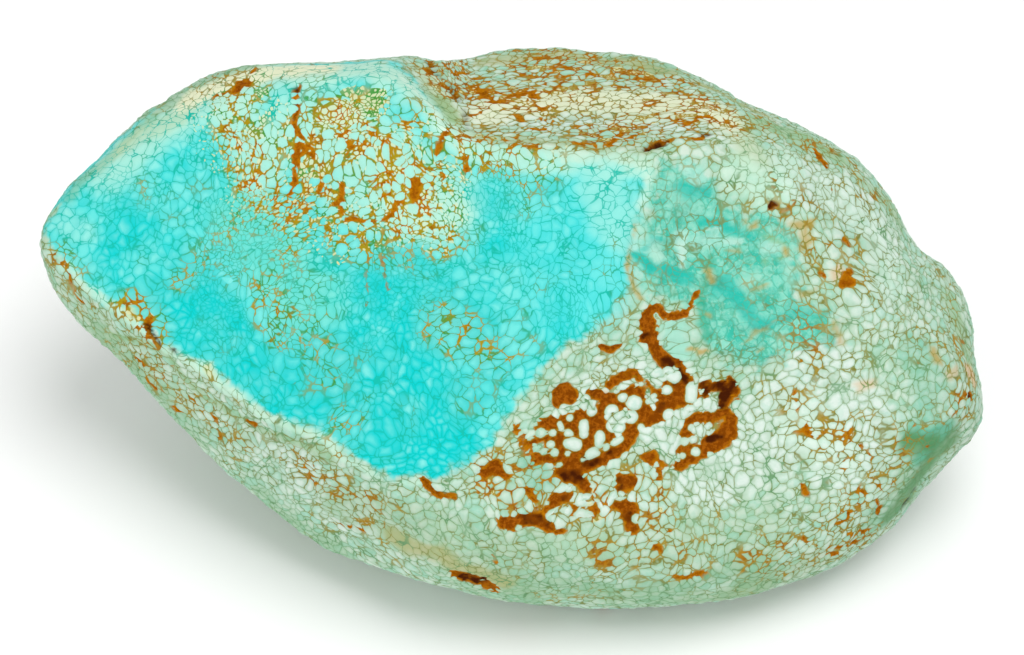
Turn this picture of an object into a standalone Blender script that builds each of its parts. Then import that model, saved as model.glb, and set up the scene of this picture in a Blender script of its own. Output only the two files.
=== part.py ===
"""A raw turquoise nugget: one natural stone, about 60 mm long, lying on a flat break.

The form is worked out in the stone's own working frame, in millimetres: first number to the right,
second number up, third number out of the broad face, with the middle of the stone at zero. A rounded
pebble that fills the outline is the start. Broken faces are cut from it, scars and dents are hollowed
out of it, and the result is tipped back to the way the stone lies.
"""

from collections import namedtuple

import bmesh
import bpy
import numpy as np
from mathutils import Matrix, Vector, noise

MM = 0.001

NODE_NAME = "turquoise_nugget"
COLOUR = (0.33, 0.72, 0.62, 1.0)
ROUGHNESS = 0.5
METALLIC = 0.0

# The stone's outline, seen square on to its broad face, clockwise from the left tip.
OUTLINE = [
    (-30.1, 6.4), (-28.8, 9.1), (-26.9, 10.8), (-24.4, 13.2), (-21.6, 15.2), (-18.4, 16.6),
    (-14.2, 17.0), (-9.7, 17.3), (-6.2, 17.5), (-4.6, 17.0), (-2.4, 17.5), (0.0, 18.1),
    (3.7, 18.4), (7.9, 18.0), (11.7, 16.4), (15.4, 14.5), (19.1, 12.9), (22.2, 11.0),
    (24.3, 8.4), (26.3, 5.6), (28.4, 3.8), (29.4, 1.2), (29.6, -1.6), (30.1, -4.3),
    (30.1, -6.2), (28.6, -8.1), (26.9, -10.3), (25.1, -12.3), (22.4, -14.3), (19.1, -16.0),
    (14.3, -17.2), (9.5, -17.7), (5.0, -17.9), (0.0, -17.3), (-5.8, -15.7), (-11.6, -14.2),
    (-14.4, -12.3), (-20.2, -7.3), (-25.7, -1.5), (-28.8, 1.7), (-29.8, 4.2),
]
OUTLINE_STEPS = 12

# The pebble: how far it bulges out of and behind the outline, and how full its section is.
FRONT_BULGE = 15.0
BACK_BULGE = 14.5
EDGE_FULLNESS = 2.5
BULGE_FULLNESS = 2.1
RIM_SLOPE_RIGHT = -0.02
RIM_SLOPE_UP = -0.05
RIM_BEND = -0.003
PEBBLE_SCALE = 6.0

# The lie of the stone: it is tipped by this much, in degrees, so that the broad face looks forward.
LEAN = 40.0
BASE_DEPTH = 13.4
BASE_SOFT = 0.8

# A facet's outward normal leans by tilt degrees from straight out of the broad face, towards the
# direction toward, in degrees from the right. soft is how far its edges are worn round.
Facet = namedtuple("Facet", "toward tilt point soft")

FACE_HEIGHT = 9.6
FACE_SLOPE_RIGHT = 0.25
FACE_SLOPE_UP = -0.15
FACE_SOFT = 0.35


def on_face(right, up):
    """The point of the broad face at this place in the outline."""
    return (right, up, FACE_HEIGHT + FACE_SLOPE_RIGHT * right + FACE_SLOPE_UP * up)


FRONT_FACETS = [
    Facet(-144.0, 54.0, on_face(-27.1, 2.7), 0.4),  # long lower left side, by the left tip
    Facet(-135.0, 57.0, on_face(-21.2, -1.6), 0.4),  # long lower left side, middle
    Facet(-127.0, 56.0, on_face(-10.4, -7.9), 0.4),  # long lower left side, far end
    Facet(-108.0, 33.0, on_face(-8.8, -8.9), 1.4),  # foot of the front, under the broad face
    Facet(20.0, 12.0, on_face(8.0, 6.7), 1.2),  # weathered skin, upper right
    Facet(-50.0, 16.0, on_face(2.6, -1.4), 1.6),  # weathered skin, lower right
    Facet(130.0, 46.0, on_face(-23.3, 12.5), 2.0),  # worn shoulder, upper left
    Facet(116.0, 46.0, on_face(-16.4, 15.4), 1.6),  # the same, nearer the scar
    Facet(12.0, 44.0, (26.6, 1.0, 6.0), 4.0),  # right end
    Facet(-48.0, 46.0, (21.6, -11.6, 4.6), 3.0),  # lower right end
    Facet(-86.0, 50.0, (6.0, -15.4, 6.4), 2.5),  # rounded lower edge
    Facet(40.0, 50.0, (22.8, 8.8, 5.0), 3.5),  # upper right edge
]
SCAR_FLOOR = Facet(96.0, 57.0, on_face(-2.9, 11.7), 0.7)
SCAR_WALL = Facet(50.0, 75.0, on_face(-2.9, 11.7), 1.0)
SCAR_EDGE_SOFT = 0.35

# The shelly break beside the broad face: a shallow bite by a large ball.
Ball = namedtuple("Ball", "middle radius soft")
SHELLY_BREAK = Ball((17.0, 5.8, 32.0), 24.0, 0.4)

# Breaks on the side that faces away and down.
BACK_FACETS = [
    Facet(160.0, 128.0, (-25.0, 8.0, -6.5), 1.2),
    Facet(78.0, 116.0, (4.0, 15.8, -7.5), 1.6),
    Facet(28.0, 134.0, (20.0, 8.0, -8.5), 1.2),
    Facet(-150.0, 116.0, (-23.2, -4.0, -6.5), 1.2),
    Facet(-22.0, 124.0, (27.2, -8.0, -5.8), 1.6),
    Facet(108.0, 158.0, (-6.0, 6.0, -11.0), 1.0),
]

# Hollows (positive depth) and lumps (negative depth): place, width to the fading edge, depth.
Dent = namedtuple("Dent", "place width depth")
DENTS = [
    Dent((27.0, 6.0, 0.0), 3.0, 0.25),  # hollow in the upper right edge
    Dent((27.0, -3.2, 4.4), 3.0, -0.8),  # knob at the right end
    Dent((27.0, -10.2, 1.5), 2.6, 0.25),  # nick in the lower right edge
    Dent((8.0, -5.5, 10.5), 3.6, 0.35),  # rusty hollow under the broad face
    Dent((-2.0, -13.5, 6.0), 4.0, -0.2),
    Dent((6.0, 15.0, 4.0), 4.5, -0.5),  # swelling of the back slope
    Dent((16.0, 2.0, -12.0), 5.5, 1.0),
    Dent((-12.0, 8.0, -9.0), 6.0, -0.9),
    Dent((2.0, 12.0, -11.0), 4.0, 0.9),
    Dent((-22.0, 3.0, -5.0), 3.6, 0.5),
]

# Slow unevenness of the whole surface: size of the waves and how high they stand.
WAVES = [(9.0, 0.35), (4.0, 0.16), (2.0, 0.07)]
FACE_CALM = 0.25
FACE_CALM_REACH = 2.0
BASE_CALM_REACH = 2.5

# The mesh: a fine ball whose points are moved out to the surface, and then thinned.
SPHERE_DIVISIONS = 7
START_SIZE = (30.0, 18.0, 13.0)
NEAREST, FARTHEST = 2.0, 45.0
HALVINGS = 30
TRIANGLES = 9200
FLAT_REACH = 0.02
MIDDLE_HEIGHT = 14.0
FOLD_PASSES = 8


def facet_normal(facet):
    """The outward normal of a facet, from its two angles."""
    toward, tilt = np.radians(facet.toward), np.radians(facet.tilt)
    return np.array([np.sin(tilt) * np.cos(toward), np.sin(tilt) * np.sin(toward), np.cos(tilt)])


def above(points, facet):
    """How far each point stands outside a facet that passes through its own point."""
    return (points - np.array(facet.point)) @ facet_normal(facet)


def smooth_max(first, second, soft):
    """The larger of two fields, with the edge between them worn round."""
    near = np.maximum(soft - np.abs(first - second), 0.0) / soft
    return np.maximum(first, second) + near * near * soft / 4.0


def smooth_min(first, second, soft):
    """The smaller of two fields, with the corner between them filled round."""
    return -smooth_max(-first, -second, soft)


def outline_reach():
    """Angles and distances of a smooth closed curve through the outline's points."""
    points = np.array(OUTLINE)
    before, after, next_but_one = (np.roll(points, n, axis=0) for n in (1, -1, -2))
    curve = []
    for step in range(OUTLINE_STEPS):
        t = step / OUTLINE_STEPS
        curve.append(
            0.5 * (
                2.0 * points
                + (after - before) * t
                + (2.0 * before - 5.0 * points + 4.0 * after - next_but_one) * t**2
                + (3.0 * points - before - 3.0 * after + next_but_one) * t**3
            )
        )
    curve = np.concatenate(curve)
    angles = np.arctan2(curve[:, 1], curve[:, 0])
    order = np.argsort(angles)
    return angles[order], np.hypot(curve[:, 0], curve[:, 1])[order]


OUTLINE_ANGLES, OUTLINE_REACH = outline_reach()


def pebble(points):
    """The rounded pebble, as a field that is negative inside and about a distance near the surface."""
    right, up, out = points.T
    reach = np.interp(np.arctan2(up, right), OUTLINE_ANGLES, OUTLINE_REACH, period=2.0 * np.pi)
    share = np.hypot(right, up) / reach
    from_rim = out - RIM_SLOPE_RIGHT * right - RIM_SLOPE_UP * up - RIM_BEND * up**2
    bulge = np.where(from_rim > 0.0, FRONT_BULGE, BACK_BULGE)
    return PEBBLE_SCALE * (share**EDGE_FULLNESS + np.abs(from_rim / bulge) ** BULGE_FULLNESS - 1.0)


def face_height(points):
    """How far each point stands outside the broad face."""
    normal = np.array([-FACE_SLOPE_RIGHT, -FACE_SLOPE_UP, 1.0])
    return (points - np.array(on_face(0.0, 0.0))) @ (normal / np.linalg.norm(normal))


def base_height(points):
    """How far each point stands outside the break that the stone rests on."""
    down = Matrix.Rotation(-np.radians(LEAN), 3, "X") @ Vector((0.0, 0.0, -1.0))
    return points @ np.array(down) - BASE_DEPTH


def dents(points):
    """What the hollows take away and the lumps add."""
    total = np.zeros(len(points))
    for dent in DENTS:
        distance = np.linalg.norm(points - np.array(dent.place), axis=1)
        total += dent.depth * np.exp(-((distance / dent.width) ** 2))
    return total


def stone(points):
    """The whole stone as one field: negative inside, positive outside."""
    field = pebble(points)
    for facet in BACK_FACETS:
        field = smooth_max(field, above(points, facet), facet.soft)
    for facet in reversed(FRONT_FACETS):
        field = smooth_max(field, above(points, facet), facet.soft)
    field = smooth_max(field + dents(points), face_height(points), FACE_SOFT)
    inside_ball = SHELLY_BREAK.radius - np.linalg.norm(points - np.array(SHELLY_BREAK.middle), axis=1)
    field = smooth_max(field, inside_ball, SHELLY_BREAK.soft)
    scar = smooth_min(above(points, SCAR_FLOOR), above(points, SCAR_WALL), SCAR_WALL.soft)
    field = smooth_max(field, scar, SCAR_EDGE_SOFT)
    return smooth_max(field, base_height(points), BASE_SOFT)


def surface_points(directions):
    """Where a line from the middle of the stone along each direction meets the surface."""
    low = np.full(len(directions), NEAREST)
    high = np.full(len(directions), FARTHEST)
    for _ in range(HALVINGS):
        middle = (low + high) / 2.0
        inside = stone(directions * middle[:, None]) < 0.0
        low = np.where(inside, middle, low)
        high = np.where(inside, high, middle)
    return directions * low[:, None]


def unevenness(point):
    """The slow waves at a point, as a height."""
    return sum(size * noise.noise(Vector(point) / wave) for wave, size in WAVES)


def wave_share(points):
    """How much of the slow waves each point has: little on the broad face and none on the base."""
    off_face = np.clip(-face_height(points) / FACE_CALM_REACH, 0.0, 1.0)
    off_base = np.clip(-base_height(points) / BASE_CALM_REACH, 0.0, 1.0)
    return (FACE_CALM + (1.0 - FACE_CALM) * off_face) * off_base**2


def stone_mesh():
    """The stone's closed mesh, in the working frame."""
    form = bmesh.new()
    bmesh.ops.create_icosphere(form, subdivisions=SPHERE_DIVISIONS, radius=1.0)
    starts = np.array([vertex.co for vertex in form.verts]) * np.array(START_SIZE)
    directions = starts / np.linalg.norm(starts, axis=1)[:, None]
    points = surface_points(directions)
    shares = wave_share(points)
    for vertex, point, direction, share in zip(form.verts, points, directions, shares):
        vertex.co = Vector(point + direction * share * unevenness(point))
    return form


def lay_down(form):
    """Tips the stone to the way it lies and puts the lowest break on the ground, centred, in metres."""
    form.transform(Matrix.Rotation(np.radians(LEAN), 4, "X"))
    form.transform(Matrix.Translation((0.0, 0.0, BASE_DEPTH)))
    flatten_base(form, FLAT_REACH)
    spots = np.array([vertex.co for vertex in form.verts])
    middle = (spots.max(axis=0) + spots.min(axis=0)) / 2.0
    form.transform(Matrix.Translation((-middle[0], -middle[1], 0.0)))
    form.transform(Matrix.Scale(MM, 4))


def flatten_base(form, reach):
    """Brings every point this near the ground down to it."""
    for vertex in form.verts:
        if vertex.co.z < reach:
            vertex.co.z = 0.0


def with_fewer_triangles(mesh):
    """A thinner mesh of the same form, with small triangles only where the surface bends."""
    nugget = bpy.data.objects.new("full mesh", mesh)
    bpy.context.scene.collection.objects.link(nugget)
    thin = nugget.modifiers.new("fewer triangles", "DECIMATE")
    thin.ratio = TRIANGLES / len(mesh.polygons)
    graph = bpy.context.evaluated_depsgraph_get()
    thinner = bpy.data.meshes.new_from_object(nugget.evaluated_get(graph))
    bpy.data.objects.remove(nugget)
    return thinner


def iron_folds(form):
    """Smooths away the few triangles that thinning has turned over."""
    middle = Vector((0.0, 0.0, MIDDLE_HEIGHT * MM))
    for _ in range(FOLD_PASSES):
        form.normal_update()
        folded = [f for f in form.faces if f.normal.dot(f.calc_center_median() - middle) < 0.0]
        corners = list({vertex for face in folded for vertex in face.verts})
        bmesh.ops.smooth_vert(
            form, verts=corners, factor=1.0, use_axis_x=True, use_axis_y=True, use_axis_z=True
        )


def stone_material():
    """Weathered turquoise, in one plain colour."""
    material = bpy.data.materials.new("turquoise")
    material.use_nodes = True
    shader = material.node_tree.nodes["Principled BSDF"]
    shader.inputs["Base Color"].default_value = COLOUR
    shader.inputs["Roughness"].default_value = ROUGHNESS
    shader.inputs["Metallic"].default_value = METALLIC
    return material


def main():
    for obj in list(bpy.data.objects):
        bpy.data.objects.remove(obj)
    form = stone_mesh()
    lay_down(form)
    full = bpy.data.meshes.new("full mesh")
    form.to_mesh(full)
    form.free()

    mesh = with_fewer_triangles(full)
    mesh.name = NODE_NAME
    form = bmesh.new()
    form.from_mesh(mesh)
    iron_folds(form)
    flatten_base(form, FLAT_REACH * MM)
    form.to_mesh(mesh)
    form.free()
    mesh.shade_smooth()
    mesh.materials.append(stone_material())
    bpy.context.scene.collection.objects.link(bpy.data.objects.new(NODE_NAME, mesh))


main()
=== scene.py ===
"""Looks of the raw turquoise nugget: one stone with a worn, pale skin, a broad face of fresh blue turquoise,
a shelly teal break and a web of rusty veins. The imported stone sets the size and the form; this script gives
it a fine mesh, its relief and its colours, and a plain studio."""

import math

import bmesh
import bpy
import numpy as np
from mathutils import Matrix, Vector, noise
from mathutils.bvhtree import BVHTree

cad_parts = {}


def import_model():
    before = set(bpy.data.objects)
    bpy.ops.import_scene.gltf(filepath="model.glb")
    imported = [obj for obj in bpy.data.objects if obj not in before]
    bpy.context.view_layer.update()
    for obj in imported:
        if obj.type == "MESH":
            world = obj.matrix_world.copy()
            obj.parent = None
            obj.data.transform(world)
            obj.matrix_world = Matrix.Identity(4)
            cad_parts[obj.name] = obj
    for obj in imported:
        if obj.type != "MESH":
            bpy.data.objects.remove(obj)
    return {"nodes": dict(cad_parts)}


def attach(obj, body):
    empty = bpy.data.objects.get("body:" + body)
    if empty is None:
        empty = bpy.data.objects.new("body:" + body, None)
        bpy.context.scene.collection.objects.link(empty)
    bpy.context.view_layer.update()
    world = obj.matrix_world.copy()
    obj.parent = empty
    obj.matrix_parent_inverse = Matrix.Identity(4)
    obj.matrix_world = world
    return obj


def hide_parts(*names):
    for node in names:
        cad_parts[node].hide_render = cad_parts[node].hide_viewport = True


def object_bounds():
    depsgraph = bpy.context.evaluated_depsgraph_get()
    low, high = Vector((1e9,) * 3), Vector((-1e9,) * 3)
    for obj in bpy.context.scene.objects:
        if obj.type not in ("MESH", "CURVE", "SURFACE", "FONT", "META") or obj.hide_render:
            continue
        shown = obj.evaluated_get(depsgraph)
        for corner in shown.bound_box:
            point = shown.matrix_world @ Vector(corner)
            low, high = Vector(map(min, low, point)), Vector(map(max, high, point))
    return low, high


# The picture: its size and the width of the stone in it, in pixels, and the camera that took it.
PICTURE_WIDTH = 1024
PICTURE_HEIGHT = 655
STONE_IN_PICTURE = 941
LENS = 200.0
SENSOR = 36.0
ELEVATION = math.radians(50)
NEAREST_SEEN = 0.01  # metres

MM = 0.001
MM_A_PIXEL = 0.064  # on the stone, at its middle

# The fine mesh. Lengths are in millimetres from here on. Its points are drawn towards the camera, and then
# gathered at one pixel: by a share of their way to it, over a reach of directions.
SPHERE_DIVISIONS = 6
SPHERE_CUTS = 2
MIDDLE_HEIGHT = 14.0
TOWARDS_CAMERA = 0.15
FINEST_PIXEL = (610, 440)
GATHERING = 0.45
GATHERING_REACH = 0.5
SMOOTHING_PASSES = 7
BASE_CALM = 1.2  # the height over which the relief fades in, above the floor


# ---- the camera


class View:
    """The camera of the picture, and where points of the stone fall in it."""

    def __init__(self, points):
        sine, cosine = math.sin(ELEVATION), math.cos(ELEVATION)
        self.turned = np.array(((1.0, 0.0, 0.0), (0.0, sine, cosine), (0.0, -cosine, sine)))
        self.right, self.up, self.back = self.turned
        seen = points @ self.turned.T
        low, high = seen.min(axis=0), seen.max(axis=0)
        self.focal = LENS / SENSOR * PICTURE_WIDTH
        away = self.focal * (high[0] - low[0]) / STONE_IN_PICTURE
        self.place = ((low + high) / 2 + (0.0, 0.0, away)) @ self.turned

    def pixels(self, points):
        """The pixels that show the points."""
        seen = (points - self.place) @ self.turned.T
        across = PICTURE_WIDTH / 2 + self.focal * seen[:, 0] / -seen[:, 2]
        down = PICTURE_HEIGHT / 2 - self.focal * seen[:, 1] / -seen[:, 2]
        return np.stack([across, down], axis=1)

    def ray(self, pixel):
        """The direction from the camera through a pixel."""
        across = (pixel[0] - PICTURE_WIDTH / 2) / self.focal
        up = (PICTURE_HEIGHT / 2 - pixel[1]) / self.focal
        return Vector(self.right * across + self.up * up - self.back).normalized()

    def camera(self):
        made = bpy.data.cameras.new("camera")
        made.lens = LENS
        made.sensor_width = SENSOR
        made.clip_start = NEAREST_SEEN
        holder = bpy.data.objects.new("camera", made)
        holder.matrix_world = Matrix.Translation(self.place) @ Matrix(self.turned).transposed().to_4x4()
        bpy.context.scene.collection.objects.link(holder)
        bpy.context.scene.camera = holder


# ---- the fine mesh


def points_of(mesh):
    flat = np.empty(len(mesh.vertices) * 3, np.float32)
    mesh.vertices.foreach_get("co", flat)
    return flat.reshape(-1, 3).astype(float)


def even_sphere():
    """Points of a sphere, evenly spread, and their triangles."""
    shape = bmesh.new()
    bmesh.ops.create_icosphere(shape, subdivisions=SPHERE_DIVISIONS, radius=1.0)
    bmesh.ops.subdivide_edges(shape, edges=shape.edges, cuts=SPHERE_CUTS, use_grid_fill=True)
    mesh = bpy.data.meshes.new("sphere")
    shape.to_mesh(mesh)
    shape.free()
    points = points_of(mesh)
    triangles = np.empty(len(mesh.polygons) * 3, np.int32)
    mesh.polygons.foreach_get("vertices", triangles)
    bpy.data.meshes.remove(mesh)
    return points / np.linalg.norm(points, axis=1)[:, None], triangles.reshape(-1, 3)


def smoothed(points, triangles, passes):
    """Each point moved halfway to the mean of its neighbours, again and again."""
    pairs = np.concatenate([triangles[:, [0, 1]], triangles[:, [1, 2]], triangles[:, [2, 0]]])
    pairs = np.unique(np.sort(pairs, axis=1), axis=0)
    here = np.concatenate([pairs[:, 0], pairs[:, 1]])
    there = np.concatenate([pairs[:, 1], pairs[:, 0]])
    neighbours = np.bincount(here)[:, None]
    for _ in range(passes):
        total = np.stack([np.bincount(here, points[there, axis]) for axis in range(3)], axis=1)
        points = (points + total / neighbours) / 2
    return points


def gathered(directions, centre):
    """Directions drawn in towards one of them, so that the mesh is finer there."""
    directions = directions / np.linalg.norm(directions, axis=1)[:, None]
    centre = np.array(centre) / np.linalg.norm(centre)
    away = np.linalg.norm(directions - centre, axis=1)
    pull = GATHERING * np.exp(-((away / GATHERING_REACH) ** 2))
    return directions + (centre - directions) * pull[:, None]


def fine_stone(node, view):
    """The node's surface again, in fine triangles: finer towards the camera, and finest round the pebbles."""
    directions, triangles = even_sphere()
    node_points = points_of(node.data)
    half = (node_points.max(axis=0) - node_points.min(axis=0)) / 2
    faces = [list(face.vertices) for face in node.data.polygons]
    surface = BVHTree.FromPolygons(node_points.tolist(), faces)
    middle = Vector((0.0, 0.0, MIDDLE_HEIGHT * MM))
    finest = surface.ray_cast(Vector(view.place), view.ray(FINEST_PIXEL))[0] - middle
    directions = gathered((directions + TOWARDS_CAMERA * view.back) * half, finest)
    found = [surface.ray_cast(middle, Vector(way).normalized())[0] for way in directions]
    points = smoothed(np.array(found), triangles, SMOOTHING_PASSES)
    points[:, 2] = np.maximum(points[:, 2], 0.0)
    return points, triangles


def normals_of(points, triangles):
    """The stone's normal at each point, from the triangles round it."""
    corners = points[triangles]
    flat = np.cross(corners[:, 1] - corners[:, 0], corners[:, 2] - corners[:, 0])
    sums = [sum(np.bincount(corner, part, len(points)) for corner in triangles.T) for part in flat.T]
    total = np.stack(sums, axis=1)
    return total / np.linalg.norm(total, axis=1)[:, None]


# ---- marks, in the picture

# Outlines of regions, as the x and y of their corners. The broad face is where fresh blue turquoise shows.
BROAD_FACE = [
    40, 235, 62, 190, 95, 150, 140, 120, 200, 98, 250, 72, 320, 55, 400, 60, 424, 93, 450, 130, 468, 142,
    520, 146, 575, 160, 652, 168, 646, 209, 630, 240, 628, 290, 596, 330, 556, 352, 530, 385, 505, 420,
    484, 455, 440, 478, 392, 480, 362, 462, 318, 432, 262, 412, 222, 378, 172, 350, 132, 318, 100, 300,
    66, 268,
]
TEAL_BREAK = [
    650, 164, 676, 156, 706, 160, 716, 184, 734, 206, 776, 212, 798, 226, 800, 262, 806, 298, 834, 312,
    838, 340, 800, 350, 764, 372, 728, 366, 702, 346, 694, 314, 664, 302, 638, 292, 630, 262, 634, 232,
    645, 205,
]
TOP_FACET = [
    426, 50, 560, 30, 700, 60, 800, 110, 770, 128, 706, 134, 660, 146, 620, 156, 520, 142, 468, 142, 448, 112,
    428, 80,
]

# Marks are lines and spots of the stone. Each group holds a half width in millimetres, a strength from 0 to 1
# and each mark's way through the picture, as the x and y of the pixels that it passes.

# Solid rust, where the matrix fills everything between the cells.
RUST = [
    (0.05, 0.6, [236, 413, 245, 420]), (0.07, 0.8, [452, 68, 475, 102]),
    (0.07, 0.6, [714, 157, 715, 162], [772, 185, 791, 198], [811, 382, 822, 379],
     [124, 314, 128, 321, 136, 320, 137, 312]),
    (0.1, 1, [738, 396, 742, 402]),
    (0.1, 0.9, [699, 294, 682, 308], [313, 62, 305, 73, 302, 84], [429, 60, 438, 80], [925, 449, 926, 450]),
    (0.1, 0.8, [214, 98, 234, 88], [248, 78, 258, 66], [444, 134, 449, 129],
     [405, 199, 396, 203, 394, 212, 386, 218, 346, 223], [820, 546, 840, 550, 860, 541],
     [912, 424, 914, 425]),
    (0.1, 0.7, [288, 200, 276, 200], [460, 70, 490, 82, 497, 92], [480, 140, 522, 135],
     [856, 486, 858, 494, 866, 498]),
    (0.1, 0.6, [628, 546, 640, 560, 650, 566], [868, 484, 884, 488], [116, 348, 128, 354],
     [160, 362, 174, 368]),
    (0.1, 0.4, [228, 232, 222, 244, 208, 262, 190, 268], [178, 280, 161, 300, 166, 306],
     [304, 252, 302, 268, 304, 282, 301, 298], [302, 352, 303, 366, 288, 400],
     [362, 342, 355, 350, 358, 374, 362, 386, 354, 410, 360, 420, 346, 448]),
    (0.12, 0.9, [640, 149, 676, 136]),
    (0.12, 0.8, [56, 256, 70, 270, 70, 286, 82, 302], [438, 80, 454, 92, 458, 102], [520, 132, 549, 126],
     [802, 486, 806, 494, 814, 496], [874, 500, 880, 506, 882, 513], [858, 534, 881, 526]),
    (0.12, 0.7, [510, 149, 518, 142], [798, 388, 792, 402, 794, 412], [841, 438, 850, 446],
     [162, 390, 168, 397]),
    (0.12, 0.6, [572, 95, 596, 92], [793, 204, 782, 212], [796, 432, 808, 434], [797, 362, 798, 370],
     [914, 349, 919, 354, 920, 362], [962, 398, 958, 406], [961, 341, 966, 342]),
    (0.12, 0.5, [370, 250, 364, 280, 368, 292, 365, 304]),
    (0.12, 0.4, [276, 262, 277, 274, 266, 294, 250, 314]),
    (0.15, 1, [667, 530, 669, 534], [655, 549, 658, 554]), (0.15, 0.9, [650, 380, 656, 388, 650, 392]),
    (0.15, 0.8, [681, 128, 690, 122, 708, 116], [146, 324, 142, 332]),
    (0.15, 0.7, [492, 554, 497, 560], [280, 80, 284, 74], [344, 158, 348, 148, 356, 139, 360, 146],
     [368, 136, 373, 129], [343, 142, 356, 139], [389, 138, 391, 139], [444, 172, 446, 176],
     [493, 150, 496, 151], [573, 143, 597, 145], [848, 424, 850, 430], [862, 444, 868, 448, 868, 456],
     [852, 456, 846, 464, 844, 474], [136, 358, 145, 367], [186, 394, 195, 403]),
    (0.15, 0.6, [664, 84, 669, 85], [825, 183, 838, 189], [770, 174, 774, 178], [835, 455, 837, 459],
     [950, 415, 957, 412]),
    (0.15, 0.5, [186, 270, 181, 273], [290, 306, 272, 344], [392, 246, 384, 262, 386, 290]),
    (0.18, 1, [770, 203, 771, 206]), (0.18, 0.9, [434, 489, 441, 496, 452, 498], [298, 102, 296, 120]),
    (0.18, 0.8, [295, 120, 298, 134, 298, 150], [297, 178, 288, 202, 289, 210],
     [300, 156, 306, 146, 314, 154], [466, 168, 467, 171], [340, 184, 340, 196, 345, 215],
     [611, 146, 614, 139, 620, 134], [628, 139, 631, 145], [696, 139, 706, 134], [849, 537, 854, 541],
     [829, 555, 834, 556]),
    (0.18, 0.7, [318, 186, 323, 193], [334, 204, 338, 206], [517, 114, 524, 122],
     [468, 120, 472, 114, 479, 112], [846, 238, 849, 242], [822, 275, 829, 277], [803, 538, 808, 541],
     [211, 414, 218, 420, 219, 436]),
    (0.18, 0.6, [520, 76, 534, 75, 548, 78, 549, 70], [526, 60, 542, 57], [565, 66, 571, 70],
     [540, 117, 553, 121], [634, 78, 648, 80]),
    (0.22, 1, [681, 309, 675, 313, 664, 315, 657, 309], [657, 309, 650, 316, 646, 326],
     [664, 359, 676, 361, 684, 369, 689, 380], [604, 349, 612, 351, 620, 346], [706, 417, 726, 416],
     [646, 457, 658, 460, 668, 466], [660, 470, 660, 476], [555, 532, 562, 534], [545, 508, 556, 502]),
    (0.22, 0.9, [610, 381, 622, 374, 634, 376, 643, 386, 640, 398], [530, 488, 534, 494],
     [426, 481, 434, 489], [430, 71, 432, 73], [666, 132, 676, 132], [842, 521, 848, 518, 851, 511],
     [966, 394, 971, 396], [245, 421, 254, 424]),
    (0.22, 0.8, [298, 87, 295, 96, 298, 102], [298, 150, 297, 172], [415, 183, 417, 193],
     [816, 150, 820, 158, 827, 165], [848, 270, 846, 286, 853, 285],
     [810, 422, 812, 430, 818, 434, 826, 430]),
    (0.22, 0.7, [676, 576, 706, 573], [342, 524, 364, 532], [434, 152, 444, 134], [463, 160, 467, 158],
     [148, 380, 156, 388], [172, 408, 178, 414], [144, 316, 149, 318]),
    (0.22, 0.6, [505, 82, 516, 84], [578, 76, 592, 76], [526, 102, 542, 107]),
    (0.26, 1, [530, 440, 545, 440], [703, 386, 708, 396], [730, 378, 735, 388]),
    (0.3, 1, [686, 383, 674, 396], [584, 484, 587, 490], [603, 405, 604, 430], [728, 396, 724, 406],
     [686, 434, 688, 426, 696, 418, 706, 418], [704, 457, 680, 466], [622, 478, 634, 482, 626, 488],
     [628, 520, 634, 530], [486, 472, 498, 467, 506, 473]),
    (0.3, 0.9, [236, 90, 240, 82, 247, 82]), (0.3, 0.7, [508, 96, 518, 96, 530, 92, 538, 96]),
    (0.36, 1, [651, 344, 666, 363], [540, 460, 560, 458], [592, 393, 605, 398], [714, 390, 724, 390],
     [729, 423, 728, 430], [553, 499, 566, 495]),
    (0.42, 1, [660, 394, 680, 402], [622, 448, 608, 458, 594, 464, 576, 468], [562, 471, 578, 478, 584, 484],
     [708, 452, 721, 446], [622, 504, 631, 512], [505, 522, 530, 523], [534, 520, 545, 527]),
    (0.42, 0.8, [575, 510, 600, 508], [455, 574, 494, 590]), (0.42, 0.7, [472, 88, 496, 101]),
    (0.5, 1, [668, 406, 643, 420, 634, 430, 630, 440, 622, 448], [562, 397, 570, 395]),
    (0.5, 0.9, [685, 440, 690, 450]), (0.5, 0.6, [520, 430, 530, 450]),
    (0.6, 1, [648, 328, 648, 339], [580, 450, 600, 455], [690, 400, 675, 385], [712, 440, 723, 433]),
    (0.7, 1, [612, 400, 636, 396, 640, 410]), (0.9, 1, [552, 430, 565, 455], [575, 425, 590, 430, 600, 440]),
]
# Where the rust is nearly black.
DARK = [
    (0.1, 0.9, [311, 64, 301, 84], [640, 149, 660, 142, 672, 134]),
    (0.1, 0.7, [431, 72, 440, 82], [452, 68, 475, 102]), (0.15, 0.9, [611, 455]),
    (0.15, 0.8, [297, 92, 296, 118], [925, 449, 926, 450]),
    (0.15, 0.6, [482, 90, 488, 94], [246, 421, 250, 423]), (0.22, 1, [644, 338]),
    (0.22, 0.8, [967, 395, 970, 396]), (0.22, 0.7, [627, 514, 628, 524]), (0.22, 0.6, [634, 482, 638, 483]),
    (0.26, 1, [664, 362, 668, 366], [680, 374, 686, 382, 682, 386]), (0.26, 0.9, [703, 388, 707, 396]),
    (0.26, 0.8, [731, 380, 735, 387], [585, 466, 600, 462]), (0.26, 0.6, [585, 488], [558, 499, 570, 497]),
    (0.3, 1, [657, 409]), (0.3, 0.9, [770, 203, 771, 206]), (0.3, 0.6, [622, 481, 624, 488]),
    (0.36, 1, [710, 438, 714, 436]), (0.36, 0.9, [716, 390, 727, 394, 723, 407]),
    (0.36, 0.8, [566, 474, 580, 478]), (0.42, 0.8, [462, 577, 480, 584]), (0.42, 0.7, [530, 521, 540, 521]),
]
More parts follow.
